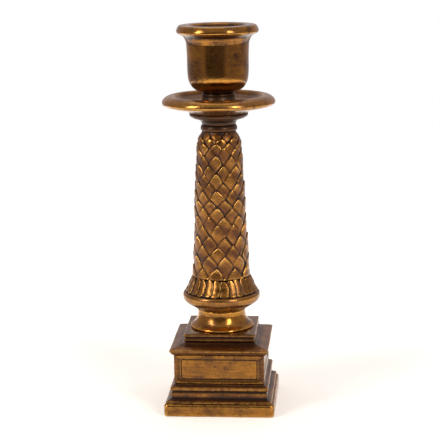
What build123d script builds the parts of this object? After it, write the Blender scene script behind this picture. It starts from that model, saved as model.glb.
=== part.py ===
from build123d import *
import os

# Altar candlestick: turned and cast brass sections stacked on one tie rod.
# Millimetres, +Z up. Origin: centre of the underside of the square slab.
# Every section is its own solid. The candle cup is the upper nut of the rod,
# the thin nut under the bridge plate is the lower one.

# ---------------------------------------------------------------- driving sizes
slab_half = 25.4          # half of the 2 in square slab
slab_top = 5.9
moulding_top = 14.45      # top of the base moulding, under the die
die_half = 20.75
die_top = 28.2
cornice_top = 33.05
plinth_top = 36.96        # top of the square cap plate
foot_top = 45.6           # joint between round foot and torus
torus_top = 54.0          # joint between torus and leaf collar
leaf_top = 61.4           # joint between leaf collar and palm column
column_top = 129.35       # joint between palm column and neck ring
neck_top = 132.3          # joint between neck ring and capital
capital_top = 135.6
seat_top = 137.7          # joint between seat ring and drip pan
pan_floor = 143.0         # flat of the dish, the collar stands on it
collar_top = 146.75
cup_bottom = 146.8
cup_rim = 177.4
candle_r = 11.25          # socket for a 22 mm (7/8 in) candle
socket_floor = 153.5
socket_wall_top = 175.5   # above it the mouth opens out
mouth_r = 12.9
rod_r = 3.175             # 1/4 in rod
rod_low, rod_high = 0.35, 152.5
rod_hole_r = 3.35         # clearance hole through the fixed sections
cup_thread_r = 3.225      # 0.05 mm running clearance on the rod
collar_hole_r = 3.235
cavity_r = 15.0           # hollow inside of the cast plinth
plate_r = 17.8
plate_low, plate_high = 2.9, 4.4
nut_low = 0.45
nut_flats = 11.1
panel_half_w = 20.3       # sunk panel on each face of the die, at the face
panel_low, panel_high = 14.9, 27.9
panel_depth = 0.55
panel_side = 2.9          # run of the mitred slope at the sides
panel_ends = 1.9          # and at the top and bottom

os.makedirs("parts", exist_ok=True)


def save(shape, name):
    shape.label = name
    export_step(shape, "parts/" + name + ".step")


def turned(*runs):
    """Revolve a closed outline given as runs of (kind, [(r, z), ...])."""
    edges = []
    for kind, pts in runs:
        p = [(r, 0, z) for r, z in pts]
        if kind == "s":
            edges.append(Edge.make_spline([Vector(*q) for q in p]))
        else:
            for a, b in zip(p[:-1], p[1:]):
                edges.append(Edge.make_line(a, b))
    return revolve(Face(Wire(edges)), axis=Axis.Z)


def squared(outline):
    """Square-plan moulding with mitred corners. outline runs from the lowest
    to the highest (half width, z) as runs of (kind, points)."""
    edges = []
    first = outline[0][1][0]
    last = outline[-1][1][-1]
    for kind, pts in outline:
        p = [(a, 0, z) for a, z in pts]
        if kind == "s":
            edges.append(Edge.make_spline([Vector(*q) for q in p]))
            edges.append(Edge.make_spline([Vector(-x, y, z) for x, y, z in p]))
        else:
            for a, b in zip(p[:-1], p[1:]):
                edges.append(Edge.make_line(a, b))
                edges.append(Edge.make_line((-a[0], 0, a[2]), (-b[0], 0, b[2])))
    edges.append(Edge.make_line((-first[0], 0, first[1]), (first[0], 0, first[1])))
    edges.append(Edge.make_line((-last[0], 0, last[1]), (last[0], 0, last[1])))
    face = Face(Wire.combine(edges)[0])
    across = extrude(face, amount=40, dir=(0, 1, 0), both=True)
    along = across.rotate(Axis.Z, 90)
    return across & along


def drill(r, low, high):
    return Pos(0, 0, (low + high) / 2) * Cylinder(r, high - low)


# ---------------------------------------------------------------- candle cup
candle_cup = turned(
    ("l", [(cup_thread_r, cup_bottom), (6.0, cup_bottom)]),
    ("s", [(6.0, cup_bottom), (6.6, 146.83), (7.2, 146.9), (8.4, 147.17), (9.6, 147.66),
           (10.8, 148.4), (11.9, 149.4), (12.9, 150.8),
           (13.65, 152.5), (13.9, 155.3), (14.0, 158.5), (14.05, 163.5), (14.2, 168.0)]),
    ("s", [(14.2, 168.0), (14.5, 170.2), (14.9, 171.1), (15.35, 172.0), (16.3, 172.9),
           (17.3, 173.4), (18.2, 173.85)]),
    ("s", [(18.2, 173.85), (18.75, 174.4), (18.72, 175.1), (18.1, 176.5), (17.55, 177.25),
           (17.1, cup_rim)]),
    ("l", [(17.1, cup_rim), (mouth_r + 0.3, cup_rim)]),
    ("s", [(mouth_r + 0.3, cup_rim), (mouth_r - 0.25, 177.0), (11.9, 176.2), (candle_r, socket_wall_top)]),
    ("l", [(candle_r, socket_wall_top), (candle_r, socket_floor), (0, socket_floor),
           (0, 152.95), (cup_thread_r, 152.95), (cup_thread_r, cup_bottom)]),
)
save(candle_cup, "candle_cup")

# ---------------------------------------------------------------- collar under the cup
cup_collar = turned(
    ("l", [(collar_hole_r, pan_floor + 0.05), (7.9, pan_floor + 0.05)]),
    ("s", [(7.9, pan_floor + 0.05), (7.55, 143.9), (7.45, 144.9), (7.45, 146.2)]),
    ("l", [(7.45, 146.2), (7.1, collar_top), (collar_hole_r, collar_top),
           (collar_hole_r, pan_floor + 0.05)]),
)
save(cup_collar, "cup_collar")

# ---------------------------------------------------------------- drip pan
drip_pan = turned(
    ("l", [(rod_hole_r, seat_top), (13.4, seat_top)]),
    ("s", [(13.4, seat_top), (14.5, 138.4), (15.7, 138.8), (16.8, 139.3), (18.4, 139.75),
           (21.3, 140.2), (23.65, 140.7), (24.85, 141.1), (25.7, 141.6), (26.0, 142.5)]),
    ("s", [(26.0, 142.5), (25.75, 143.35), (24.9, 144.35), (23.4, 145.25), (21.8, 145.6),
           (20.6, 145.55), (20.0, 145.2)]),
    ("s", [(20.0, 145.2), (19.4, 144.3), (18.5, 143.45), (17.0, pan_floor)]),
    ("l", [(17.0, pan_floor), (rod_hole_r, pan_floor), (rod_hole_r, seat_top)]),
)
save(drip_pan, "drip_pan")

# ---------------------------------------------------------------- seat ring, capital, neck ring
pan_seat_ring = turned(
    ("l", [(rod_hole_r, capital_top), (12.4, capital_top)]),
    ("s", [(12.4, capital_top), (13.1, 136.05), (13.4, 136.7), (13.4, 137.3)]),
    ("l", [(13.4, 137.3), (13.2, seat_top), (rod_hole_r, seat_top), (rod_hole_r, capital_top)]),
)
save(pan_seat_ring, "pan_seat_ring")

# the capital's spigot drops through the neck ring into the hollow column
capital = turned(
    ("l", [(rod_hole_r, 127.3), (5.5, 127.3), (5.5, neck_top), (7.75, neck_top), (7.9, 132.9)]),
    ("s", [(7.9, 132.9), (8.1, 133.45), (8.5, 133.9), (9.1, 134.3), (9.75, 134.7),
           (10.7, 135.1), (12.2, 135.4)]),
    ("l", [(12.2, 135.4), (12.3, capital_top), (rod_hole_r, capital_top), (rod_hole_r, 127.3)]),
)
save(capital, "capital")

neck_ring = turned(
    ("l", [(5.6, column_top), (8.15, column_top)]),
    ("s", [(8.15, column_top), (8.38, 130.0), (8.42, 130.6), (8.34, 131.2), (8.0, 131.9), (7.6, neck_top)]),
    ("l", [(7.6, neck_top), (5.6, neck_top), (5.6, column_top)]),
)
save(neck_ring, "neck_ring")

# ---------------------------------------------------------------- palm column
# Hollow shaft with a gentle swelling foot; the overlapping scales stand
# 0.3 to 0.5 mm proud of a core of this outline. Its lower spigot passes
# through the leaf collar and the torus.
palm_column = turned(
    ("l", [(7.0, 49.0), (9.0, 49.0), (9.0, leaf_top), (13.5, leaf_top)]),
    ("s", [(13.5, leaf_top), (13.35, 63.0), (12.95, 65.5), (12.85, 69.0), (12.85, 72.5), (12.6, 76.0),
           (12.35, 81.0), (12.1, 87.0), (11.8, 94.0), (11.45, 101.0), (11.1, 107.0), (10.75, 113.0),
           (10.5, 118.0), (10.25, 122.5), (9.5, 126.0), (8.8, 127.8), (8.2, column_top)]),
    ("l", [(8.2, column_top), (5.6, column_top), (5.6, 126.5), (7.0, 123.5), (7.0, 49.0)]),
)
save(palm_column, "palm_column")

# ---------------------------------------------------------------- leaf collar, torus, foot
leaf_collar = turned(
    ("l", [(9.05, torus_top), (17.35, torus_top)]),
    ("s", [(17.35, torus_top), (17.2, 54.6), (16.5, 55.6), (15.95, 56.6), (15.65, 57.5),
           (15.3, 58.5), (14.85, 59.4), (14.4, 60.4), (13.9, leaf_top)]),
    ("l", [(13.9, leaf_top), (9.05, leaf_top), (9.05, torus_top)]),
)
save(leaf_collar, "leaf_collar")

base_torus = turned(
    ("l", [(9.05, foot_top), (11.35, foot_top)]),
    ("s", [(11.35, foot_top), (12.15, 46.3), (13.5, 47.2), (15.2, 48.2), (16.5, 49.1), (17.3, 49.9),
           (17.8, 50.8), (18.0, 51.7), (18.0, 52.6), (17.8, 53.3), (17.4, torus_top)]),
    ("l", [(17.4, torus_top), (9.05, torus_top), (9.05, foot_top)]),
)
save(base_torus, "base_torus")

column_foot = turned(
    ("l", [(6.0, plinth_top), (14.5, plinth_top)]),
    ("s", [(14.5, plinth_top), (14.78, 37.45), (14.6, 38.0)]),
    ("s", [(14.6, 38.0), (13.9, 38.45), (13.0, 39.15), (12.2, 40.1), (11.6, 41.3), (11.2, 42.65), (11.0, 43.95), (11.2, foot_top)]),
    ("l", [(11.2, foot_top), (6.0, foot_top), (6.0, plinth_top)]),
)
save(column_foot, "column_foot")

# ---------------------------------------------------------------- square plinth
plinth_cap = squared([
    ("l", [(15.2, cornice_top), (15.7, cornice_top)]),
    ("s", [(15.7, cornice_top), (16.3, 33.6), (16.35, 34.3), (15.8, 35.1)]),
    ("l", [(15.8, 35.1), (16.3, 35.4), (16.5, 35.8), (16.5, 36.6), (16.3, plinth_top)]),
]) - drill(rod_hole_r, 30, 40)
save(plinth_cap, "plinth_cap")

plinth_cornice = squared([
    ("l", [(20.9, die_top), (21.0, die_top)]),
    ("s", [(21.0, die_top), (21.5, 28.6), (22.0, 29.2), (22.35, 29.9)]),
    ("l", [(22.35, 29.9), (22.71, 30.0), (22.71, 30.85)]),
    ("s", [(22.71, 30.85), (21.4, 31.35), (19.4, 31.95), (17.6, 32.45), (16.6, cornice_top)]),
]) - drill(rod_hole_r, 25, 40)
save(plinth_cornice, "plinth_cornice")

plinth_die = squared([
    ("l", [(die_half - 0.15, moulding_top), (die_half, 15.0), (die_half, die_top)]),
]) - drill(cavity_r, 10, 40)
panel_mid = (panel_low + panel_high) / 2
panel_h = panel_high - panel_low
cutter = loft([
    Plane(origin=(0, -(die_half + 0.01), panel_mid), x_dir=(1, 0, 0), z_dir=(0, 1, 0))
    * Rectangle(2 * panel_half_w, panel_h),
    Plane(origin=(0, -(die_half - panel_depth), panel_mid), x_dir=(1, 0, 0), z_dir=(0, 1, 0))
    * Rectangle(2 * (panel_half_w - panel_side), panel_h - 2 * panel_ends),
])
for turn in range(4):
    plinth_die -= cutter.rotate(Axis.Z, 90 * turn)
save(plinth_die, "plinth_die")

base_moulding = squared([
    ("l", [(24.2, slab_top), (24.35, 6.3), (24.1, 6.9)]),
    ("s", [(24.1, 6.9), (23.2, 7.35), (22.5, 7.75), (21.95, 8.15)]),
    ("l", [(21.95, 8.15), (22.15, 8.6), (22.2, 10.4), (21.85, 10.8), (21.75, 11.1), (22.3, 11.6)]),
    ("l", [(22.3, 11.6), (22.58, 12.0), (22.58, 13.2)]),
    ("s", [(22.58, 13.2), (21.9, 13.6), (21.2, 13.95), (20.8, moulding_top)]),
]) - drill(cavity_r, 2, 20)
save(base_moulding, "base_moulding")

slab = Pos(0, 0, slab_top / 2) * Box(2 * slab_half, 2 * slab_half, slab_top)
slab = fillet(slab.edges().filter_by(Axis.Z), 1.6)
slab = fillet(slab.faces().sort_by(Axis.Z)[-1].edges(), 0.9)
slab = fillet(slab.faces().sort_by(Axis.Z)[0].edges(), 0.4)
# counterbore for the bridge plate, and the ledge that the plate pulls on
plinth_slab = slab - drill(plate_r + 0.2, -1, plate_high) - drill(13.0, plate_high - 1, 10)
save(plinth_slab, "plinth_slab")

# ---------------------------------------------------------------- fastening
tie_rod = drill(rod_r, rod_low, rod_high)
tie_rod = chamfer(tie_rod.edges().filter_by(GeomType.CIRCLE), 0.5)
save(tie_rod, "tie_rod")

bridge_plate = drill(plate_r, plate_low, plate_high) - drill(rod_hole_r, 0, 10)
save(bridge_plate, "bridge_plate")

nut_body = Pos(0, 0, nut_low) * extrude(
    RegularPolygon(nut_flats / 2, 6, major_radius=False), amount=plate_low - nut_low
)
rod_nut = nut_body - drill(rod_r + 0.03, -1, 10)
save(rod_nut, "rod_nut")
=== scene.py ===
import math
import bpy
import numpy as np
from mathutils import Matrix, Vector


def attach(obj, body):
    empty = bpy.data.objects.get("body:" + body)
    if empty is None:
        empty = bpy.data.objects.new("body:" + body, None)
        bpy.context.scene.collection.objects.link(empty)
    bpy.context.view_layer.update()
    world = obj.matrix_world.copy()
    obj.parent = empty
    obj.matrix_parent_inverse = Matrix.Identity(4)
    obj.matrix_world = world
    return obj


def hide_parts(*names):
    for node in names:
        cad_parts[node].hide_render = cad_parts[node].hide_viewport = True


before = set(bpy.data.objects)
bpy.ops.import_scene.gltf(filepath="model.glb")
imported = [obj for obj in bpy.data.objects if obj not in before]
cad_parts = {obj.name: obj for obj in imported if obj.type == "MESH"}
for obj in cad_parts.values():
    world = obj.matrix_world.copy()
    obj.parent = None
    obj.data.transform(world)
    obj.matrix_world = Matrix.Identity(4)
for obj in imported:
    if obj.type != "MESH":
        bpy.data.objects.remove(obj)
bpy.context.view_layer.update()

MM = 0.001
rng = np.random.default_rng(7)
TAU = 2 * math.pi


# ------------------------------------------------------------------ curves
def spline(pts, step):
    """Natural cubic spline through pts, by chord length, sampled every step."""
    p = np.array(pts, float)
    t = np.concatenate([[0], np.cumsum(np.hypot(*np.diff(p, axis=0).T))])
    n = len(p)
    h = np.diff(t)
    a = np.zeros((n, n)); b = np.zeros((n, 2))
    a[0, 0] = a[-1, -1] = 1
    for i in range(1, n - 1):
        a[i, i - 1], a[i, i], a[i, i + 1] = h[i - 1], 2 * (h[i - 1] + h[i]), h[i]
        b[i] = 6 * ((p[i + 1] - p[i]) / h[i] - (p[i] - p[i - 1]) / h[i - 1])
    m = np.linalg.solve(a, b)
    s = np.linspace(0, t[-1], max(3, int(t[-1] / step) + 2))
    k = np.clip(np.searchsorted(t, s, side="right") - 1, 0, n - 2)
    d, e, hk = (s - t[k])[:, None], (t[k + 1] - s)[:, None], h[k][:, None]
    return (m[k] * e**3 + m[k + 1] * d**3) / (6 * hk) + (p[k] / hk - m[k] * hk / 6) * e + (p[k + 1] / hk - m[k + 1] * hk / 6) * d


def chain(runs, step):
    out = []
    for kind, pts in runs:
        if kind == "s":
            q = spline(pts, step)
        else:
            q = []
            for a, b in zip(pts[:-1], pts[1:]):
                n = max(1, int(math.hypot(b[0] - a[0], b[1] - a[1]) / step))
                q += [(a[0] + (b[0] - a[0]) * i / n, a[1] + (b[1] - a[1]) * i / n) for i in range(n)]
            q = np.array(q + [pts[-1]])
        out.append(q if not out else q[1:])
    return np.concatenate(out)


def soften(p, step, sigma):
    """Even spacing, then corners worn round over about sigma; the ends stay."""
    t = np.concatenate([[0], np.cumsum(np.hypot(*np.diff(p, axis=0).T))])
    n = max(4, int(t[-1] / step) + 1)
    s = np.linspace(0, t[-1], n)
    q = np.stack([np.interp(s, t, p[:, 0]), np.interp(s, t, p[:, 1])], 1)
    for _ in range(max(1, int(2 * (sigma / (t[-1] / (n - 1))) ** 2 + 0.5))):
        q[1:-1] = 0.25 * q[:-2] + 0.5 * q[1:-1] + 0.25 * q[2:]
    return q


# ------------------------------------------------------------------ meshes
def waves(theta, z, seed, amp, low=2, high=7, scale=18.0):
    """Slow unevenness of hand-finished metal, in mm."""
    r = np.random.default_rng(seed)
    out = 0
    for _ in range(7):
        k = int(r.integers(low, high)); w = r.uniform(0.3, 1.6) / scale * TAU
        out = out + r.normal() * np.sin(k * theta + w * z + r.uniform(0, TAU))
    return amp * out / 2.6


def grid_mesh(name, rows, vcols=None, wrap_v=True):
    """rows (v, u, 3) in mm; u is closed, v is closed too when wrap_v."""
    nv, nu, _ = rows.shape
    co = (rows.reshape(-1, 3) * MM).astype(np.float32)
    v = np.arange(nv if wrap_v else nv - 1)[:, None]; u = np.arange(nu)[None, :]
    v2, u2 = (v + 1) % nv, (u + 1) % nu
    quads = np.stack([v * nu + u, v * nu + u2, v2 * nu + u2, v2 * nu + u], -1).reshape(-1, 4)
    p = co[quads].astype(float)
    vol = np.einsum("ij,ij->i", p[:, 0], np.cross(p[:, 1], p[:, 2])).sum() + np.einsum("ij,ij->i", p[:, 0], np.cross(p[:, 2], p[:, 3])).sum()
    if vol < 0:
        quads = quads[:, ::-1]
    me = bpy.data.meshes.new(name)
    me.vertices.add(len(co)); me.vertices.foreach_set("co", co.ravel())
    me.loops.add(quads.size); me.loops.foreach_set("vertex_index", quads.astype(np.int32).ravel())
    me.polygons.add(len(quads)); me.polygons.foreach_set("loop_start", np.arange(0, quads.size, 4, dtype=np.int32))
    me.polygons.foreach_set("use_smooth", np.ones(len(quads), bool))
    me.update(calc_edges=True); me.validate()
    return me


def outward_relief(rows, sigma_mm, wrap_v=True):
    """Signed height over the local average surface in mm: + on edges, - in grooves."""
    q = rows.copy()
    du = np.median(np.linalg.norm(np.roll(rows, -1, 1) - rows, axis=2))
    dv = np.median(np.linalg.norm(rows[1:] - rows[:-1], axis=2))
    nu_it = min(60, max(1, int(2 * (sigma_mm / du) ** 2)))
    nv_it = min(60, max(1, int(2 * (sigma_mm / dv) ** 2)))
    for i in range(max(nu_it, nv_it)):
        if i < nu_it:
            q = 0.25 * np.roll(q, 1, 1) + 0.5 * q + 0.25 * np.roll(q, -1, 1)
        if i < nv_it:
            if wrap_v:
                q = 0.25 * np.roll(q, 1, 0) + 0.5 * q + 0.25 * np.roll(q, -1, 0)
            else:
                q[1:-1] = 0.25 * q[:-2] + 0.5 * q[1:-1] + 0.25 * q[2:]
    tu = np.roll(rows, -1, 1) - np.roll(rows, 1, 1)
    tv = np.roll(rows, -1, 0) - np.roll(rows, 1, 0)
    raw = np.cross(tu, tv)
    # the enclosed volume says which way the loop winds
    vol = ((rows - rows.mean((0, 1))) * raw).sum()
    n = raw / (np.linalg.norm(raw, axis=2, keepdims=True) + 1e-9)
    d = np.einsum("ijk,ijk->ij", rows - q, n)
    return d if vol > 0 else -d


def attribute(me, name, values):
    a = me.attributes.new(name, "FLOAT", "POINT")
    a.data.foreach_set("value", values.astype(np.float32).ravel())


def piece(name, node, body, rows, material, curv=None, dirt_and_shade=None, wrap_v=True, sigma=0.7):
    me = grid_mesh(name, rows, wrap_v=wrap_v)
    if curv is None:
        curv = outward_relief(rows, sigma, wrap_v)
    attribute(me, "relief", curv)
    attribute(me, "dirt_and_shade", np.zeros(rows.shape[:2]) if dirt_and_shade is None else dirt_and_shade)
    ob = bpy.data.objects.new(name, me)
    bpy.context.scene.collection.objects.link(ob)
    me.materials.append(material)
    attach(ob, body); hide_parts(node)
    return ob


# Dark band at each given height: mostly dark joints between pieces; the bands inside the cap and the base moulding are
# painted shade under an overhang.
def seam_dirt_and_shade(z, ends, width=0.35):
    d = 0
    for e in ends:
        d = d + np.exp(-np.abs(z - e) / width)
    return np.clip(d, 0, 1)


def lathe(outer, inner, step=0.3, sigma=0.12, nu=200, wobble=0.035, seed=1):
    """outer: visible runs; inner: (r, z) points that close the section."""
    p = soften(chain(outer, step * 0.5), step, sigma)
    q = chain([("l", [tuple(p[-1])] + inner + [tuple(p[0])])], 2.2)[1:-1]
    prof = np.concatenate([p, q])
    th = np.arange(nu) / nu * TAU
    vis = np.concatenate([np.ones(len(p)), np.zeros(len(q))])
    vis[0] = vis[len(p) - 1] = 0
    vis[:len(p)] = np.clip(np.minimum(np.arange(len(p)), np.arange(len(p))[::-1]) / 4, 0, 1)
    r, z = prof[:, 0][:, None], prof[:, 1][:, None]
    rr = r + vis[:, None] * waves(th[None, :], z, seed, wobble)
    rows = np.stack([rr * np.cos(th), rr * np.sin(th), np.broadcast_to(z, rr.shape)], -1)
    return rows


# ------------------------------------------------------------------ materials
def ramp(nt, fac, stops, interp="LINEAR"):
    n = nt.nodes.new("ShaderNodeValToRGB")
    n.color_ramp.interpolation = interp
    while len(n.color_ramp.elements) < len(stops):
        n.color_ramp.elements.new(0.5)
    for e, (pos, col) in zip(n.color_ramp.elements, stops):
        e.position = pos
        e.color = (*col, 1) if isinstance(col, tuple) else (col, col, col, 1)
    nt.links.new(fac, n.inputs["Fac"])
    return n.outputs["Color"]


def math_node(nt, op, a, b=None, clamp=False):
    n = nt.nodes.new("ShaderNodeMath"); n.operation = op; n.use_clamp = clamp
    for i, x in enumerate((a, b)):
        if x is None:
            continue
        if isinstance(x, (int, float)):
            n.inputs[i].default_value = x
        else:
            nt.links.new(x, n.inputs[i])
    return n.outputs[0]


def mix_rgb(nt, fac, a, b, mode="MIX"):
    n = nt.nodes.new("ShaderNodeMix"); n.data_type = "RGBA"; n.blend_type = mode
    for sock, x in ((n.inputs["Factor"], fac), (n.inputs[6], a), (n.inputs[7], b)):
        if isinstance(x, (int, float)):
            sock.default_value = x
        elif isinstance(x, tuple):
            sock.default_value = (*x, 1)
        else:
            nt.links.new(x, sock)
    return n.outputs[2]


def noise(nt, scale, detail=3.0, rough=0.55, stretch=(1, 1, 1), offset=(0, 0, 0), distortion=0.0):
    tc = nt.nodes.new("ShaderNodeTexCoord")
    mp = nt.nodes.new("ShaderNodeMapping")
    mp.inputs["Scale"].default_value = stretch
    mp.inputs["Location"].default_value = offset
    nt.links.new(tc.outputs["Object"], mp.inputs["Vector"])
    n = nt.nodes.new("ShaderNodeTexNoise")
    n.inputs["Scale"].default_value = scale
    n.inputs["Detail"].default_value = detail
    n.inputs["Roughness"].default_value = rough
    n.inputs["Distortion"].default_value = distortion
    nt.links.new(mp.outputs["Vector"], n.inputs["Vector"])
    return n.outputs["Fac"]


def brass(name, bright=(0.58, 0.33, 0.09), mid=(0.33, 0.155, 0.036), brown=(0.115, 0.046, 0.014),
          dark=(0.018, 0.007, 0.004), edge_gain=5.0, groove_gain=6.0, base_dirt=0.16, cloud=0.42,
          rough=(0.20, 0.42), streak=0.0, pits=0.25, bump=0.25, seed=0.0, coat=0.55, even=0.35, flecks=0.25):
    m = bpy.data.materials.new(name); m.use_nodes = True
    nt = m.node_tree; nt.nodes.clear()
    out = nt.nodes.new("ShaderNodeOutputMaterial")
    bs = nt.nodes.new("ShaderNodeBsdfPrincipled")
    nt.links.new(bs.outputs[0], out.inputs[0])
    rel = nt.nodes.new("ShaderNodeAttribute"); rel.attribute_name = "relief"
    dirt_and_shade = nt.nodes.new("ShaderNodeAttribute"); dirt_and_shade.attribute_name = "dirt_and_shade"
    off = (seed, seed * 1.7, seed * 0.6)
    big = noise(nt, 110, 4, 0.6, offset=off)
    small = noise(nt, 520, 5, 0.65, offset=off)
    fine = noise(nt, 2600, 3, 0.6, offset=off)
    line = noise(nt, 90, 5, 0.7, (1, 1, 14), off, 0.4) if streak else small
    groove = math_node(nt, "MULTIPLY", rel.outputs["Fac"], -groove_gain, clamp=True)
    edge = math_node(nt, "MULTIPLY", rel.outputs["Fac"], edge_gain, clamp=True)
    wear = math_node(nt, "MULTIPLY", math_node(nt, "SUBTRACT", small, 0.40), 5.0, clamp=True)
    edge = math_node(nt, "MULTIPLY", edge, math_node(nt, "ADD", math_node(nt, "MULTIPLY", wear, 1 - even), even))
    # patina: recesses, seams, and cloudy tarnish; the per-vertex attribute also carries painted shade bands under
    # overhangs and on the die's slopes
    cl = math_node(nt, "MULTIPLY", math_node(nt, "SUBTRACT", math_node(nt, "ADD", math_node(nt, "MULTIPLY", big, 0.62), math_node(nt, "MULTIPLY", line, 0.38)), 0.44), 3.4 * cloud)
    pat = math_node(nt, "ADD", math_node(nt, "ADD", groove, dirt_and_shade.outputs["Fac"]), math_node(nt, "ADD", cl, base_dirt))
    pat = math_node(nt, "SUBTRACT", pat, math_node(nt, "MULTIPLY", edge, 0.75), clamp=True)
    speck = ramp(nt, small, [(0.60, 0.0), (0.70, 1.0)])
    pat = math_node(nt, "ADD", pat, math_node(nt, "MULTIPLY", speck, pits), clamp=True)
    fleck = ramp(nt, noise(nt, 1500, 2, 0.5, offset=off), [(0.63, 0.0), (0.68, 1.0)])
    pat = math_node(nt, "SUBTRACT", pat, math_node(nt, "MULTIPLY", fleck, flecks), clamp=True)
    metal = mix_rgb(nt, edge, mid, bright)
    metal = mix_rgb(nt, math_node(nt, "MULTIPLY", math_node(nt, "SUBTRACT", small, 0.35), 0.9, clamp=True), metal, bright)
    col = mix_rgb(nt, ramp(nt, pat, [(0.05, 0.0), (0.55, 1.0)]), metal, brown)
    col = mix_rgb(nt, ramp(nt, pat, [(0.5, 0.0), (1.0, 1.0)]), col, dark)
    nt.links.new(col, bs.inputs["Base Color"])
    ro = math_node(nt, "ADD", math_node(nt, "MULTIPLY", pat, rough[1] - rough[0]), math_node(nt, "MULTIPLY", fine, 0.14))
    nt.links.new(math_node(nt, "ADD", ro, rough[0] - 0.05, clamp=True), bs.inputs["Roughness"])
    nt.links.new(math_node(nt, "SUBTRACT", 1.0, math_node(nt, "MULTIPLY", pat, 0.45), clamp=True), bs.inputs["Metallic"])
    bs.inputs["Specular IOR Level"].default_value = 0.4
    bs.inputs["Coat Weight"].default_value = coat
    bs.inputs["Coat Roughness"].default_value = 0.28
    bs.inputs["Coat IOR"].default_value = 1.45
    h = math_node(nt, "ADD", math_node(nt, "MULTIPLY", small, 0.7), math_node(nt, "MULTIPLY", fine, 0.3))
    if streak:
        h = math_node(nt, "ADD", h, math_node(nt, "MULTIPLY", noise(nt, 300, 2, 0.5, (0.2, 0.2, 9), off), streak))
    bp = nt.nodes.new("ShaderNodeBump")
    bp.inputs["Strength"].default_value = bump
    bp.inputs["Distance"].default_value = 0.00022
    nt.links.new(h, bp.inputs["Height"])
    nt.links.new(bp.outputs[0], bs.inputs["Normal"])
    return m


cup_mat = brass("old_brass_cup", mid=(0.37, 0.160, 0.026), bright=(0.50, 0.26, 0.055), base_dirt=0.16, cloud=0.9, rough=(0.07, 0.25), streak=0.3, pits=0.55, bump=0.24, seed=3.1, coat=0.15, edge_gain=1.3, even=0.25, flecks=0.5)
pan_mat = brass("old_brass_pan", mid=(0.34, 0.150, 0.030), base_dirt=0.16, cloud=0.75, rough=(0.17, 0.36), streak=0.2, pits=0.35, bump=0.16, seed=5.3, coat=0.2, edge_gain=2.2, bright=(0.48, 0.26, 0.07), even=0.2, groove_gain=2.6, dark=(0.065, 0.026, 0.008), brown=(0.17, 0.070, 0.020))
# a much darker brass for the small rings tucked under the cup and the drip pan
neck_mat = brass("dark_ring_brass", bright=(0.20, 0.10, 0.032), mid=(0.105, 0.044, 0.015), brown=(0.065, 0.027, 0.012), dark=(0.02, 0.012, 0.008), base_dirt=0.40, cloud=0.55, rough=(0.30, 0.5), pits=0.2, bump=0.3, seed=8.7, edge_gain=1.5, coat=0.2, flecks=0.35)
scale_mat = brass("chased_brass_scales", edge_gain=6.5, groove_gain=4.2, mid=(0.25, 0.102, 0.019), brown=(0.12, 0.042, 0.014), base_dirt=0.12, cloud=0.5, rough=(0.24, 0.46), bump=0.35, seed=1.9, coat=0.15, bright=(0.54, 0.29, 0.07))
leaf_mat = brass("chased_brass_leaves", edge_gain=5.0, groove_gain=9.0, mid=(0.27, 0.115, 0.022), base_dirt=0.12, cloud=0.5, rough=(0.20, 0.42), bump=0.2, seed=4.4, coat=0.15, bright=(0.58, 0.32, 0.075))
foot_mat = brass("polished_brass_foot", mid=(0.46, 0.20, 0.030), base_dirt=0.06, cloud=0.55, rough=(0.14, 0.30), streak=0.2, pits=0.12, bump=0.07, seed=6.2, edge_gain=2.5, even=0.3, coat=0.15, bright=(0.60, 0.33, 0.07))
plinth_mat = brass("brass_plinth", mid=(0.31, 0.128, 0.020), base_dirt=0.12, cloud=0.65, rough=(0.20, 0.40), streak=0.25, coat=0.15, pits=0.3, bump=0.18, edge_gain=3.0, groove_gain=6, seed=7.5, even=0.25, bright=(0.50, 0.26, 0.055))
cap_mat = brass("brass_plinth_cap", mid=(0.13, 0.050, 0.010), bright=(0.42, 0.22, 0.055), brown=(0.10, 0.036, 0.012), edge_gain=1.6, groove_gain=6, base_dirt=0.16, cloud=0.65, rough=(0.20, 0.40), streak=0.25, pits=0.3, bump=0.18, seed=6.9, coat=0.30, even=0.2)
step_mat = brass("brass_plinth_steps", mid=(0.22, 0.080, 0.016), bright=(0.42, 0.22, 0.055), brown=(0.085, 0.030, 0.010), base_dirt=0.20, cloud=0.7, rough=(0.20, 0.40), streak=0.25, coat=0.22, pits=0.3, bump=0.2, edge_gain=5.0, groove_gain=6, seed=2.6, even=0.3)
iron_mat = brass("dull_steel", bright=(0.42, 0.39, 0.35), mid=(0.26, 0.24, 0.22), brown=(0.13, 0.08, 0.05), dark=(0.04, 0.03, 0.025), base_dirt=0.15, cloud=0.5, rough=(0.32, 0.55), bump=0.25, seed=9.9)

# ------------------------------------------------------------------ candle cup
rows = lathe(
    [("l", [(3.3, 146.8), (6.0, 146.8)]),
     ("s", [(6.0, 146.8), (6.6, 146.83), (7.2, 146.9), (8.4, 147.17), (9.6, 147.66), (10.8, 148.4), (11.9, 149.4),
            (12.85, 150.8), (13.5, 152.4), (13.85, 154.8), (14.0, 158.5), (14.05, 163.5), (14.2, 168.0)]),
     ("s", [(14.2, 168.0), (14.5, 170.2), (14.9, 171.1), (15.35, 172.0), (16.3, 172.85), (17.3, 173.3), (18.1, 173.75)]),
     ("s", [(18.1, 173.75), (18.68, 174.35), (18.7, 175.0), (18.1, 176.4), (17.6, 177.15), (17.1, 177.35)]),
     ("l", [(17.1, 177.35), (13.3, 177.35)]),
     ("s", [(13.3, 177.35), (12.65, 177.0), (11.95, 176.2), (11.3, 175.5)]),
     ("l", [(11.3, 175.5), (11.25, 153.6), (10.9, 153.5)])],
    [(0.05, 153.5), (0.05, 152.95), (3.225, 152.95), (3.225, 146.85)], step=0.32, nu=192, wobble=0.03, seed=11)
z = rows[..., 2]; r = np.hypot(rows[..., 0], rows[..., 1])
inside = (r < 12.2) & (z > 153.0)
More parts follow.
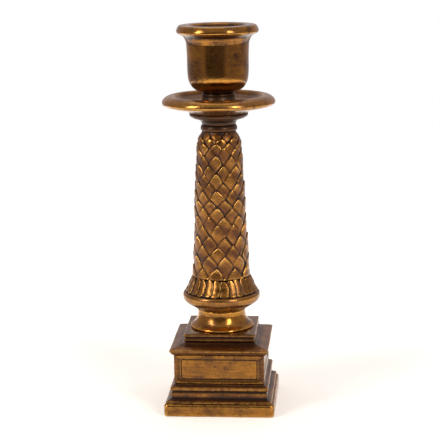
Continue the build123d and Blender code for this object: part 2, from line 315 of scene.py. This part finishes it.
# a dark joint at the cup's foot, the inside of the socket made darker, and a painted shadow band in the cove under the
# rim
dirt_and_shade = 0.55 * seam_dirt_and_shade(z, [146.8], 0.6) + 0.45 * inside + 0.35 * np.exp(-((z - 173.2) / 0.35) ** 2) * (r > 14)
piece("turned_candle_cup", "candle_cup", "cup", rows, cup_mat, dirt_and_shade=dirt_and_shade, sigma=0.9)

# ------------------------------------------------------------------ collar
rows = lathe(
    [("l", [(7.0, 143.06), (7.85, 143.08)]),
     ("s", [(7.85, 143.08), (7.6, 143.9), (7.42, 144.7), (7.42, 145.6), (7.55, 146.1)]),
     ("l", [(7.55, 146.1), (7.2, 146.65), (6.6, 146.73)])],
    [(3.25, 146.73), (3.25, 143.06)], step=0.2, nu=120, wobble=0.05, seed=12)
z = rows[..., 2]
piece("turned_cup_collar", "cup_collar", "collar", rows, neck_mat, dirt_and_shade=0.3 * seam_dirt_and_shade(z, [143.06, 146.7], 0.5), sigma=0.5)

# ------------------------------------------------------------------ drip pan
rows = lathe(
    [("l", [(13.0, 137.72), (13.5, 137.74)]),
     ("s", [(13.5, 137.74), (14.5, 138.38), (15.7, 138.8), (16.8, 139.25), (18.4, 139.7), (20.6, 140.05)]),
     ("s", [(20.6, 140.05), (22.3, 140.35), (23.65, 140.7), (24.85, 141.1), (25.65, 141.65), (25.95, 142.5)]),
     ("s", [(25.95, 142.5), (25.7, 143.35), (24.85, 144.35), (23.4, 145.2), (21.8, 145.55), (20.6, 145.5), (20.0, 145.15)]),
     ("s", [(20.0, 145.15), (19.4, 144.3), (18.4, 143.45), (16.9, 143.02)]),
     ("l", [(16.9, 143.02), (3.4, 143.0)])],
    [(3.36, 137.72)], step=0.32, nu=224, wobble=0.05, seed=13)
z = rows[..., 2]; r = np.hypot(rows[..., 0], rows[..., 1])
th = np.arctan2(rows[..., 1], rows[..., 0])
dirt_and_shade = 0.7 * seam_dirt_and_shade(z, [137.7], 0.5) * (r < 15) + 0.05 * (r < 19.5) * (z > 142.9) + 0.5 * np.exp(-((r - 7.9) / 0.5) ** 2) * (z > 142)
piece("turned_drip_pan", "drip_pan", "stand", rows, pan_mat, dirt_and_shade=dirt_and_shade, sigma=0.9)

# ------------------------------------------------------------------ seat ring, capital, neck ring
rows = lathe(
    [("l", [(11.9, 135.63), (12.4, 135.65)]),
     ("s", [(12.4, 135.65), (13.05, 136.05), (13.35, 136.7), (13.35, 137.25)]),
     ("l", [(13.35, 137.25), (13.1, 137.66), (12.4, 137.68)])],
    [(3.36, 137.68), (3.36, 135.63)], step=0.16, nu=176, wobble=0.07, seed=14)
piece("turned_pan_seat_ring", "pan_seat_ring", "stand", rows, neck_mat, dirt_and_shade=0.35 * seam_dirt_and_shade(rows[..., 2], [135.6, 137.7], 0.3), sigma=0.45)

rows = lathe(
    [("l", [(6.4, 132.32), (7.7, 132.33), (7.88, 132.85)]),
     ("s", [(7.88, 132.85), (8.05, 133.4), (8.45, 133.9), (9.1, 134.3), (9.75, 134.65), (10.7, 135.05), (12.1, 135.35)]),
     ("l", [(12.1, 135.35), (12.2, 135.57), (11.6, 135.58)])],
    [(3.36, 135.58), (3.36, 127.3), (5.5, 127.3), (5.5, 132.3)], step=0.14, nu=240, wobble=0.05, seed=15)
z = rows[..., 2]; r = np.hypot(rows[..., 0], rows[..., 1]); th = np.arctan2(rows[..., 1], rows[..., 0])
flute = 0.5 + 0.5 * np.cos(th * 34 + 0.6 * np.sin(5 * th))
band = np.exp(-((z - 133.9) / 0.75) ** 2) * (r > 7.6)
cut = 0.13 * flute ** 3 * band
rows[..., 0] *= (r - cut) / r; rows[..., 1] *= (r - cut) / r
piece("turned_capital", "capital", "stand", rows, neck_mat,
      curv=outward_relief(rows, 0.45) + 0.06 * np.exp(-((z - 132.85) / 0.12) ** 2), dirt_and_shade=0.5 * flute * band, sigma=0.45)

rows = lathe(
    [("l", [(6.4, 129.4), (8.05, 129.42)]),
     ("s", [(8.05, 129.42), (8.33, 130.0), (8.4, 130.6), (8.3, 131.2), (7.95, 131.9), (7.5, 132.25)]),
     ("l", [(7.5, 132.25), (6.9, 132.27)])],
    [(5.65, 132.27), (5.65, 129.4)], step=0.16, nu=160, wobble=0.05, seed=16)
z = rows[..., 2]
piece("turned_neck_ring", "neck_ring", "stand", rows, neck_mat, dirt_and_shade=0.5 * seam_dirt_and_shade(z, [132.2], 0.4), sigma=0.5)

# ------------------------------------------------------------------ palm column
env = np.array([(61.42, 13.7), (63.0, 13.45), (65.5, 13.1), (69.0, 12.95), (72.5, 12.95), (76.0, 12.7), (81.0, 12.42), (87.0, 12.15),
                (94.0, 11.85), (101.0, 11.5), (107.0, 11.15), (113.0, 10.8), (118.0, 10.55), (122.5, 10.3), (126.0, 9.55), (127.8, 8.85), (129.3, 8.25)])
NU, NZ, NS = 400, 236, 10
zz = np.linspace(61.45, 129.3, NZ)
e = spline([(b, a) for a, b in env], 0.05)
core = np.interp(zz, e[:, 1], e[:, 0])
th = np.arange(NU) / NU * TAU
TH, ZZ = np.meshgrid(th, zz)
R0 = np.interp(ZZ, zz, core)
# rows of scales, each shifted half a scale; tips point up
tips = [(57.6, 1), (62.5, 0), (67.3, 1), (73.0, 0), (77.4, 1), (82.2, 0), (87.1, 1), (91.2, 0), (95.3, 1), (98.7, 0), (102.8, 1),
        (106.3, 0), (110.9, 1), (114.2, 0), (118.9, 1), (122.2, 0), (124.9, 1), (127.3, 0), (129.4, 1), (131.3, 0)]
height = np.full(TH.shape, 0.0)
cover = np.full(TH.shape, -1.0)
for row, (zt, odd) in enumerate(tips):
    low2 = tips[row - 2][0] if row > 1 else zt - 9.8
    pitch = (zt - low2) / 2
    for k in range(NS):
        jz, jt = rng.normal(0, 0.30), rng.normal(0, 0.026)
        lift = rng.uniform(0.82, 1.22); lean = rng.normal(0, 0.09); fat = rng.uniform(0.90, 1.03)
        c = math.radians((-7 if odd else 9.5) + 36 * k - 85.1) + jt
        ztip = zt + jz
        d = (TH - c + math.pi) % TAU - math.pi
        s = d * R0 - lean * (ZZ - ztip)
        t = (ztip - ZZ) / (2 * pitch)
        half = math.pi / NS * np.interp(ztip, zz, core) * fat
        tc = np.clip(t, 0, 1)
        up_w = np.sin(np.clip(tc / 0.55, 0, 1) * math.pi / 2) ** 1.02
        low_w = 1 - 0.75 * np.clip((tc - 0.56) / 0.44, 0, 1) ** 1.4
        w = half * np.where(tc < 0.55, up_w, low_w)
        inside = (t > 0) & (t < 1.05) & (np.abs(s) < w)
        near = np.minimum(w - np.abs(s), t * 2 * pitch * 0.62)
        roll_in = np.sqrt(np.clip(1 - (1 - np.clip(near / 0.75, 0, 1)) ** 2, 0, 1))
        lip = np.exp(-((near - 0.34) / 0.2) ** 2)
        crown = 0.26 * (1 - (s / (w + 0.2)) ** 2)
        h = lift * (0.14 + 0.72 * (1 - tc) ** 1.0 + crown + 0.12 * lip * (t < 0.55)) * (0.12 + 0.88 * roll_in)
        # a lower row lies over the row above it
        take = inside & (h > height)
        height = np.where(take, h, height)
height = np.minimum(height, 1.25)
fade = np.clip((129.3 - ZZ) / 3.5, 0.25, 1) * np.clip((ZZ - 61.4) / 0.8 + 0.4, 0.4, 1)
height *= fade
# a light cast softness, then hand-chased unevenness
for _ in range(1):
    height = 0.2 * np.roll(height, 1, 1) + 0.6 * height + 0.2 * np.roll(height, -1, 1)
height = height + 0.03 * rng.normal(size=height.shape) * 0.4 + waves(TH, ZZ, 21, 0.05, 2, 9, 14)
RR = R0 - 0.80 + height
outer = np.stack([RR * np.cos(TH), RR * np.sin(TH), ZZ], -1)


def ring(r, zv, n=NU):
    a = np.arange(n) / n * TAU
    return np.stack([r * np.cos(a), r * np.sin(a), np.full(n, zv)], -1)[None]


rows = np.concatenate([outer, ring(6.0, 129.32), ring(5.65, 126.5), ring(7.0, 123.5), ring(7.0, 49.0), ring(9.0, 49.0), ring(9.0, 61.42), ring(12.4, 61.43)])
blur = height.copy()
for _ in range(14):
    blur = 0.25 * np.roll(blur, 1, 1) + 0.5 * blur + 0.25 * np.roll(blur, -1, 1)
    blur[1:-1] = 0.25 * blur[:-2] + 0.5 * blur[1:-1] + 0.25 * blur[2:]
curv = np.concatenate([(height - blur) * np.clip((ZZ - 61.6) / 1.0, 0, 1), np.zeros((7, NU))])
low = np.clip((0.26 - height) / 0.26, 0, 1)
tone = np.clip(0.12 + 0.5 * waves(TH, ZZ, 77, 0.35, 3, 14, 9), 0, 0.3)
dirt_and_shade = np.concatenate([0.55 * low + tone + 0.5 * seam_dirt_and_shade(ZZ, [61.4, 129.3], 0.5), np.zeros((7, NU))])
piece("chased_palm_column", "palm_column", "stand", rows, scale_mat, curv=curv, dirt_and_shade=dirt_and_shade)

# ------------------------------------------------------------------ leaf collar
envl = [(17.4, 54.05), (17.25, 54.6), (16.6, 55.6), (16.05, 56.6), (15.72, 57.5), (15.35, 58.5), (14.9, 59.4), (14.5, 60.4), (14.15, 61.4), (13.95, 62.5)]
e = spline(envl, 0.05)
NU2, NZ2, NL = 560, 84, 26
zl = np.linspace(54.05, 62.5, NZ2)
TH, ZZ = np.meshgrid(np.arange(NU2) / NU2 * TAU, zl)
R0 = np.interp(ZZ, e[:, 1], e[:, 0])
hl = np.zeros(TH.shape)
for k in range(NL):
    c = (k + rng.normal(0, 0.07)) / NL * TAU
    wide = rng.uniform(1.04, 1.2); top = 61.75 + rng.uniform(-0.5, 0.6); bot = 54.15 + abs(rng.normal(0, 0.2))
    lean = rng.normal(0.0, 0.06) - 0.03; bend = rng.normal(1.15, 0.4)
    up = rng.uniform(0.82, 1.1)
    d = (TH - c + math.pi) % TAU - math.pi
    half = math.pi / NL * R0 * wide
    t = (ZZ - bot) / (top - bot)
    tc = np.clip(t, 0, 1)
    s = (d * R0 - lean * (ZZ - 57.5) - bend * (1 - 4 * (tc - 0.5) ** 2) * 0.5) / half
    # rounded top, rounded and slightly narrowed foot
    shape = np.where(tc > 0.55, np.sqrt(np.clip(1 - ((tc - 0.55) / 0.45) ** 2.4, 0, 1)), 0.80 + 0.20 * np.sin(tc / 0.55 * math.pi / 2))
    shape = shape * np.sqrt(np.clip(1 - (1 - np.clip(tc / 0.10, 0, 1)) ** 2, 0, 1))
    q = np.abs(s) / (shape + 1e-4)
    ok = (q < 1) & (t > 0) & (t < 1)
    edge = np.exp(-((q - 0.87) / 0.06) ** 2) * np.clip(s * 2, 0, 1)
    body = np.sqrt(np.clip(1 - q ** 2, 0, 1)) * (0.5 + 0.5 * np.sin(tc * math.pi) ** 0.5)
    h = up * (0.20 + 0.42 * body + 0.26 * np.clip(s, -1, 1) + 0.20 * edge) * np.sqrt(np.clip((1 - q) / 0.16, 0, 1)) * np.sqrt(np.clip((1 - t) / 0.05, 0, 1))
    hl = np.where(ok & (h > hl), h, hl)
hl = 0.15 * np.roll(hl, 1, 1) + 0.7 * hl + 0.15 * np.roll(hl, -1, 1)
sunk = np.clip((ZZ - 60.9) / 0.7, 0, 1) * np.clip(1 - hl / 0.2, 0, 1)
RR = np.minimum(R0 - 0.92 + hl - 1.3 * sunk + waves(TH, ZZ, 22, 0.04), R0 + 0.05)
outer = np.stack([RR * np.cos(TH), RR * np.sin(TH), ZZ], -1)
rows = np.concatenate([outer, ring(12.0, 62.5, NU2), ring(9.1, 61.37, NU2), ring(9.1, 54.02, NU2), ring(15.0, 54.02, NU2)])
blur = hl.copy()
for _ in range(10):
    blur = 0.25 * np.roll(blur, 1, 1) + 0.5 * blur + 0.25 * np.roll(blur, -1, 1)
    blur[1:-1] = 0.25 * blur[:-2] + 0.5 * blur[1:-1] + 0.25 * blur[2:]
curv = np.concatenate([hl - blur, np.zeros((4, NU2))])
low = np.clip((0.24 - hl) / 0.24, 0, 1)
dirt_and_shade = np.concatenate([0.85 * low + 0.5 * seam_dirt_and_shade(ZZ, [54.0], 0.3), np.zeros((4, NU2))])
piece("chased_leaf_collar", "leaf_collar", "stand", rows, leaf_mat, curv=curv, dirt_and_shade=dirt_and_shade)

# ------------------------------------------------------------------ torus and foot
rows = lathe(
    [("l", [(10.6, 45.65), (11.4, 45.68)]),
     ("s", [(11.4, 45.68), (12.15, 46.3), (13.5, 47.2), (15.2, 48.2), (16.5, 49.1), (17.3, 49.9), (17.8, 50.8), (18.0, 51.7),
            (18.0, 52.6), (17.8, 53.25), (17.35, 53.85)]),
     ("l", [(17.35, 53.85), (16.0, 53.93)])],
    [(9.1, 53.93), (9.1, 45.65)], step=0.25, nu=220, wobble=0.04, seed=17)
z = rows[..., 2]
piece("turned_base_torus", "base_torus", "stand", rows, pan_mat, dirt_and_shade=0.7 * seam_dirt_and_shade(z, [53.95], 0.3), sigma=0.6)

rows = lathe(
    [("l", [(14.0, 37.0), (14.5, 37.02)]),
     ("s", [(14.5, 37.02), (14.76, 37.45), (14.6, 37.95)]),
     ("s", [(14.6, 37.95), (13.9, 38.4), (13.0, 39.1), (12.2, 40.05), (11.6, 41.25), (11.2, 42.6), (11.0, 43.9), (11.2, 45.55)]),
     ("l", [(11.2, 45.55), (10.6, 45.58)])],
    [(6.05, 45.58), (6.05, 37.0)], step=0.22, nu=220, wobble=0.04, seed=18)
z = rows[..., 2]
piece("turned_column_foot", "column_foot", "stand", rows, foot_mat, dirt_and_shade=0.5 * seam_dirt_and_shade(z, [37.0, 45.6], 0.25), sigma=0.6)


# ------------------------------------------------------------------ square pieces
def square_ring(a, rc, n=84, nc=6):
    """One ring of a square of half width a with corners of radius rc."""
    pts = []
    for side in range(4):
        ang = side * math.pi / 2
        c, s = math.cos(ang), math.sin(ang)
        f = (np.arange(n) / (n - 1) * 2 - 1) * (a - rc)
        x, y = f, np.full(n, -a)
        q = (np.arange(1, nc) / nc) * math.pi / 2
        cx = (a - rc) + rc * np.sin(q); cy = -(a - rc) - rc * np.cos(q)
        X = np.concatenate([x, cx]); Y = np.concatenate([y, cy])
        pts.append(np.stack([X * c - Y * s, X * s + Y * c], -1))
    return np.concatenate(pts)


def squared(outer, inner, corner=0.4, step=0.28, sigma=0.12, n=84, wobble=0.05, seed=1, hole=None):
    """outer: runs of (half width, z), lowest first; inner: (radius, z) of the round inside."""
    p = soften(chain(outer, step * 0.5), step, sigma)
    rings = []
    for i, (a, zv) in enumerate(p):
        xy = square_ring(a, min(corner, a * 0.5), n)
        ang = np.arctan2(xy[:, 1], xy[:, 0])
        f = 1.0 if 2 < i < len(p) - 3 else 0.0
        rr = np.hypot(xy[:, 0], xy[:, 1])
        xy = xy * (1 + f * waves(ang, zv, seed, wobble, 1, 9, 12) / rr)[:, None]
        rings.append(np.concatenate([xy, np.full((len(xy), 1), zv)], 1))
    base = square_ring(20, 0.4, n)
    ang = np.arctan2(base[:, 1], base[:, 0])
    for rv, zv in inner:
        rings.append(np.stack([rv * np.cos(ang), rv * np.sin(ang), np.full(len(ang), zv)], 1))
    return np.stack(rings)


def square_piece(name, node, rows, mat, seams_and_shade_lines=(), gain=0.6, extra=None, sigma=0.7):
    z = rows[..., 2]
    dirt_and_shade = gain * seam_dirt_and_shade(z, seams_and_shade_lines, 0.4) if len(seams_and_shade_lines) else np.zeros(z.shape)
    if extra is not None:
        dirt_and_shade = dirt_and_shade + extra(rows)
    return piece(name, node, "stand", rows, mat, dirt_and_shade=np.clip(dirt_and_shade, -0.2, 1), sigma=sigma)


rows = squared([("l", [(14.9, 33.07), (15.7, 33.09)]), ("s", [(15.7, 33.09), (16.3, 33.6), (16.35, 34.3), (15.7, 35.1)]),
                ("l", [(15.7, 35.1), (16.3, 35.35), (16.48, 35.8), (16.48, 36.6), (16.3, 36.93), (13.0, 36.95)])],
               [(3.36, 36.95), (3.36, 33.07)], corner=0.5, step=0.2, seed=31)
# the band at 35.15 is painted shade under the overhanging top plate; the one at 33.1 is the joint
square_piece("cast_plinth_cap", "plinth_cap", rows, cap_mat, [33.1, 35.15], 0.5)

rows = squared([("l", [(20.0, 28.23), (21.0, 28.25)]), ("s", [(21.0, 28.25), (21.5, 28.65), (22.0, 29.2), (22.3, 29.9)]),
                ("l", [(22.3, 29.9), (22.68, 30.02), (22.68, 30.8)]),
                ("s", [(22.68, 30.8), (21.4, 31.3), (19.4, 31.9), (17.6, 32.4), (16.6, 33.02)]), ("l", [(16.6, 33.02), (15.0, 33.03)])],
               [(3.36, 33.03), (3.36, 28.23)], corner=0.45, step=0.26, seed=32)
square_piece("cast_plinth_cornice", "plinth_cornice", rows, step_mat, [28.2, 33.0], 0.5)

# the die: faces sink on mitred slopes to a flat field with a fine groove round it
rows = squared([("l", [(19.5, 14.5), (20.6, 14.52), (20.72, 14.9), (20.72, 28.0), (20.6, 28.16), (19.5, 28.17)])],
               [(15.0, 28.17), (15.0, 14.5)], corner=0.35, step=0.27, n=130, wobble=0.03, seed=33)
x, y, z = rows[..., 0], rows[..., 1], rows[..., 2]
side = np.argmax(np.stack([-y, x, y, -x]), 0)
u = np.choose(side, [x, y, x, y])
big = np.maximum(np.abs(x), np.abs(y))
on = (big > 20.2)
eu = 20.3 - np.abs(u)
ez = np.minimum((z - 14.9) * 2.9 / 1.9, (27.9 - z) * 2.9 / 1.9)
ed = np.minimum(eu, ez)
# rounded inner corners
rc = 1.1
cu, cz = np.clip(2.9 + rc - eu, 0, None), np.clip(2.9 + rc - ez, 0, None)
ed = np.where((cu > 0) & (cz > 0), np.minimum(ed, 2.9 + rc - np.hypot(cu, cz)), ed)
sink = 0.55 * np.clip((ed - 0.25) / 2.2, 0, 1) + 0.20 * np.exp(-((ed - 2.85) / 0.22) ** 2) - 0.16 * np.exp(-((ed - 2.38) / 0.17) ** 2)
sink = np.where(on & (ed > 0), sink, 0)
f = (big - sink) / big
nx = np.where((side == 1) | (side == 3), x * f, x)
ny = np.where((side == 0) | (side == 2), y * f, y)
rows[..., 0], rows[..., 1] = nx, ny
# the fine groove is darkened as patina, and more in its top and bottom runs as painted shade
groove_patina_and_shade = (0.35 + 0.45 * (ez < eu)) * np.exp(-((ed - 2.85) / 0.2) ** 2) * on


# the side slopes get painted shade and the top and bottom slopes painted light, by the way each slope faces
def die_patina_and_shade(rows):
    return groove_patina_and_shade + (0.30 * (eu < ez) - 0.12 * (ez <= eu)) * (ed < 2.3) * on


square_piece("cast_plinth_die", "plinth_die", rows, plinth_mat, [14.45, 28.2], 0.8, die_patina_and_shade, sigma=0.5)

rows = squared([("l", [(23.4, 5.93), (24.2, 5.95), (24.32, 6.3), (24.1, 6.9)]), ("s", [(24.1, 6.9), (23.2, 7.35), (22.5, 7.75), (21.95, 8.1)]),
                ("l", [(21.95, 8.1), (22.12, 8.55), (22.2, 10.4), (21.85, 10.75), (21.7, 11.1), (22.3, 11.55), (22.55, 12.0), (22.55, 13.15)]),
                ("s", [(22.55, 13.15), (21.9, 13.55), (21.2, 13.9), (20.8, 14.35)]), ("l", [(20.8, 14.35), (19.6, 14.42)])],
               [(15.0, 14.42), (15.0, 5.93)], corner=0.4, step=0.2, seed=34)
# the bands at 8.1 and 11.1 are painted shade lines under the overhanging steps; those at 5.9 and 14.4 are the joints
square_piece("cast_base_moulding", "base_moulding", rows, step_mat, [5.9, 8.1, 11.1, 14.4], 0.7, sigma=0.6)

rows = squared([("l", [(20.0, 0.0), (24.9, 0.02), (25.38, 0.5), (25.38, 4.9), (25.0, 5.65), (24.4, 5.87), (22.0, 5.87)])],
               [(13.0, 5.87), (13.0, 4.4), (18.0, 4.4), (18.0, 0.0)], corner=1.7, step=0.3, sigma=0.3, seed=35, wobble=0.06)
square_piece("cast_plinth_slab", "plinth_slab", rows, plinth_mat, [5.9], 0.5, sigma=0.9)

# ------------------------------------------------------------------ rod, plate, nut
zz = np.concatenate([[0.36], np.arange(0.5, 9.0, 0.11), np.arange(9.2, 138.0, 4.0), np.arange(138.2, 152.2, 0.11), [152.48]])
a = np.arange(48) / 48 * TAU
TH, ZZ = np.meshgrid(a, zz)
threaded = ((ZZ < 8.8) | (ZZ > 138.6)).astype(float)
saw = np.abs(((ZZ / 1.27 - TH / TAU) % 1) - 0.5) * 2
RR = 3.17 - threaded * 0.48 * np.clip(saw * 1.15 - 0.08, 0, 1)
RR = np.minimum(RR, np.minimum(2.6 + (ZZ - 0.36) * 1.1, 2.6 + (152.48 - ZZ) * 1.1))
rows = np.stack([RR * np.cos(TH), RR * np.sin(TH), ZZ], -1)
rows = np.concatenate([rows, ring(0.01, 152.48, 48), ring(0.01, 0.36, 48)])
piece("threaded_tie_rod", "tie_rod", "stand", rows, iron_mat, dirt_and_shade=None, sigma=0.25)

rows = lathe([("l", [(16.5, 2.91), (17.7, 2.93), (17.78, 3.1), (17.78, 4.2), (17.7, 4.37), (16.5, 4.39)])],
             [(3.36, 4.39), (3.36, 2.91)], step=0.3, nu=160, wobble=0.02, seed=41)
piece("bridge_plate_disc", "bridge_plate", "stand", rows, step_mat, sigma=0.6)

rings = []
ah = np.arange(96) / 96 * TAU
flat = ((ah + math.pi / 6) % (math.pi / 3)) - math.pi / 6
hexr = np.minimum(5.53 / np.cos(flat), 6.3)
for cap, zv in ((5.2, 0.47), (5.6, 0.49), (6.35, 0.85), (6.35, 2.5), (5.6, 2.86), (5.2, 2.88)):
    rr = np.minimum(hexr, cap)
    rings.append(np.stack([rr * np.cos(ah + math.pi / 6), rr * np.sin(ah + math.pi / 6), np.full(96, zv)], -1))
for rv, zv in ((3.6, 2.88), (3.22, 2.6), (3.22, 0.75), (3.6, 0.47)):
    rings.append(np.stack([rv * np.cos(ah + math.pi / 6), rv * np.sin(ah + math.pi / 6), np.full(96, zv)], -1))
piece("chamfered_rod_nut", "rod_nut", "stand", np.stack(rings), iron_mat, sigma=0.3)

# ------------------------------------------------------------------ floor, lights, camera
# a pale disc, coarse rings in mesh code; it glows as painted light, weakly near the object and fully toward its rim, so
# it reads white
radii = np.concatenate([[0.001], np.linspace(0.02, 0.46, 24)])
a = np.arange(96) / 96 * TAU
co = np.concatenate([np.stack([q * np.cos(a), q * np.sin(a), np.full(96, -0.00005)], -1) for q in radii])
faces = [(i * 96 + j, i * 96 + (j + 1) % 96, (i + 1) * 96 + (j + 1) % 96, (i + 1) * 96 + j) for i in range(len(radii) - 1) for j in range(96)]
faces.append(tuple(range(95, -1, -1)))
me = bpy.data.meshes.new("floor"); me.from_pydata(co.tolist(), [], faces); me.update()
fl = bpy.data.objects.new("pale_glowing_floor", me)
bpy.context.scene.collection.objects.link(fl)
fm = bpy.data.materials.new("pale_glowing_floor"); fm.use_nodes = True
fb = fm.node_tree.nodes["Principled BSDF"]
fb.inputs["Base Color"].default_value = (0.93, 0.925, 0.915, 1)
fb.inputs["Roughness"].default_value = 0.9
fb.inputs["Specular IOR Level"].default_value = 0.1
fb.inputs["Emission Color"].default_value = (1, 0.99, 0.98, 1)
ft = fm.node_tree
ftc = ft.nodes.new("ShaderNodeTexCoord"); fln = ft.nodes.new("ShaderNodeVectorMath"); fln.operation = "LENGTH"
ft.links.new(ftc.outputs["Object"], fln.inputs[0])
# glow strength rises with distance from the centre: painted light that whitens the floor
fr = ft.nodes.new("ShaderNodeMapRange")
for q_, v_ in (("From Min", 0.10), ("From Max", 0.44), ("To Min", 0.30), ("To Max", 1.0)):
    fr.inputs[q_].default_value = v_
ft.links.new(fln.outputs["Value"], fr.inputs["Value"])
ft.links.new(fr.outputs[0], fb.inputs["Emission Strength"])
me.materials.append(fm)

cam_at = Vector((56.9, -665.98, 226.2)) * MM
yaw, pitch, roll = math.radians(-4.90), math.radians(11.74), math.radians(0.92)


def to_object(v):
    c, s = math.cos(yaw), math.sin(yaw)
    return Vector((v[0] * c + v[1] * s, -v[0] * s + v[1] * c, v[2]))


fwd = to_object((0, math.cos(pitch), -math.sin(pitch)))
up = to_object((0, math.sin(pitch), math.cos(pitch)))
right = to_object((1, 0, 0))
cx = math.cos(roll) * right - math.sin(roll) * up
cy = math.sin(roll) * right + math.cos(roll) * up
cam = bpy.data.cameras.new("camera"); cam.lens = 120.51; cam.sensor_width = 36; cam.clip_start = 0.01
co_ = bpy.data.objects.new("camera", cam)
mat = Matrix((cx, cy, -fwd)).transposed().to_4x4(); mat.translation = cam_at
co_.matrix_world = mat
bpy.context.scene.collection.objects.link(co_)
bpy.context.scene.camera = co_


def softbox(name, az, el, dist, w, h, power, colour=(1, 1, 1), aim=(0, 0, 0.09)):
    """az is measured from the camera's side of the object, + to the right."""
    a = math.radians(az - 90 + 4.9)
    p = Vector((math.cos(a) * math.cos(math.radians(el)), math.sin(a) * math.cos(math.radians(el)), math.sin(math.radians(el)))) * dist + Vector(aim)
    li = bpy.data.lights.new(name, "AREA"); li.shape = "RECTANGLE"; li.size = w; li.size_y = h
    li.energy = power; li.color = colour
    ob = bpy.data.objects.new(name, li); ob.location = p
    ob.rotation_euler = (Vector(aim) - p).to_track_quat("-Z", "Y").to_euler()
    ob.visible_camera = False
    bpy.context.scene.collection.objects.link(ob)


softbox("left_box", -56, 26, 1.0, 0.24, 0.6, 4.6, (1, 0.93, 0.82))
softbox("right_box", 37, 26, 1.0, 0.22, 0.6, 4.2, (1, 0.93, 0.82))
softbox("top_box", 180, 72, 1.2, 0.9, 0.9, 2.0)

# pale studio all round, dim where the camera stands
w = bpy.data.worlds.new("studio"); bpy.context.scene.world = w; w.use_nodes = True
nt = w.node_tree; nt.nodes.clear()
wo = nt.nodes.new("ShaderNodeOutputWorld"); bg = nt.nodes.new("ShaderNodeBackground"); white = nt.nodes.new("ShaderNodeBackground")
tc = nt.nodes.new("ShaderNodeTexCoord"); dot = nt.nodes.new("ShaderNodeVectorMath"); dot.operation = "DOT_PRODUCT"
dot.inputs[1].default_value = (-0.10, -0.985, -0.14)
nt.links.new(tc.outputs["Generated"], dot.inputs[0])
sep = nt.nodes.new("ShaderNodeSeparateXYZ"); nt.links.new(tc.outputs["Generated"], sep.inputs[0])
side_lvl = ramp(nt, math_node(nt, "ADD", math_node(nt, "MULTIPLY", dot.outputs["Value"], 0.5), 0.5),
                [(0.0, (0.58, 0.50, 0.49)), (0.55, (0.38, 0.32, 0.29)), (0.80, (0.34, 0.28, 0.23)), (0.885, (0.30, 0.24, 0.19)), (0.925, (0.02, 0.016, 0.015)), (1.0, (0.006, 0.005, 0.005))])
lift = math_node(nt, "MULTIPLY", math_node(nt, "SUBTRACT", sep.outputs["Z"], 0.25), 0.75, clamp=True)
lvl = mix_rgb(nt, lift, side_lvl, (0.75, 0.70, 0.64))
nt.links.new(lvl, bg.inputs["Color"])
white.inputs["Color"].default_value = (1, 1, 1, 1); white.inputs["Strength"].default_value = 1.0
lp = nt.nodes.new("ShaderNodeLightPath"); mx = nt.nodes.new("ShaderNodeMixShader")
nt.links.new(lp.outputs["Is Camera Ray"], mx.inputs[0]); nt.links.new(bg.outputs[0], mx.inputs[1]); nt.links.new(white.outputs[0], mx.inputs[2])
nt.links.new(mx.outputs[0], wo.inputs[0])
bpy.context.scene.view_settings.view_transform = "Standard"
